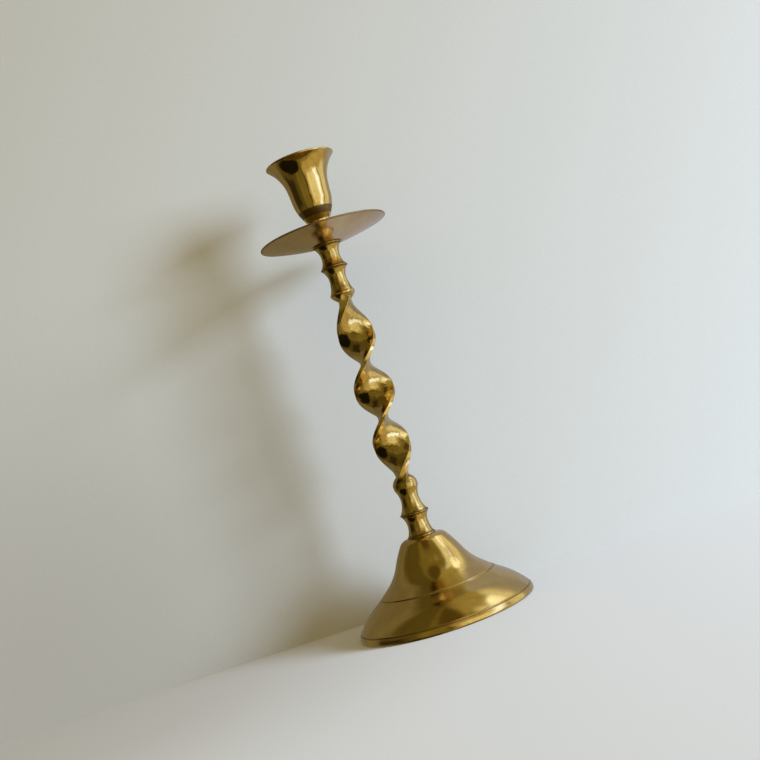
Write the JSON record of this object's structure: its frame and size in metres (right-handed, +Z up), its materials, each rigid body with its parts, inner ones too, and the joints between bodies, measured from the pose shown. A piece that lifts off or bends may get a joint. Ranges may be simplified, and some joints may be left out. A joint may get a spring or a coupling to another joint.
{
  "type": "candlestick",
  "caption": "Tall turned brass altar candlestick: bell base, open twisted stem between turned ends, dished drip pan and flared candle cup",
  "frame": {"origin": "The middle of the foot on the table that the candlestick stands on", "axes": "+Z runs up the candlestick's axis. +X and +Y are level; the flat of the twisted bar faces -Y half way up the stem"},
  "size_m": [0.1016, 0.1016, 0.2713],
  "materials": {
    "polished_brass": "cast and turned brass, polished, with an aged olive-gold tone and fine turning lines",
    "spun_brass": "spun sheet brass with a satin underside",
    "fastener_steel": "plain steel, slightly dulled"
  },
  "bodies": {
    "root": {"base": "polished_brass", "twisted_stem": "polished_brass", "drip_pan": "spun_brass", "candle_cup": "polished_brass", "cup_stud": "fastener_steel", "base_stud": "fastener_steel", "base_washer": "fastener_steel", "base_nut": "fastener_steel"}
  },
  "joints": []
}
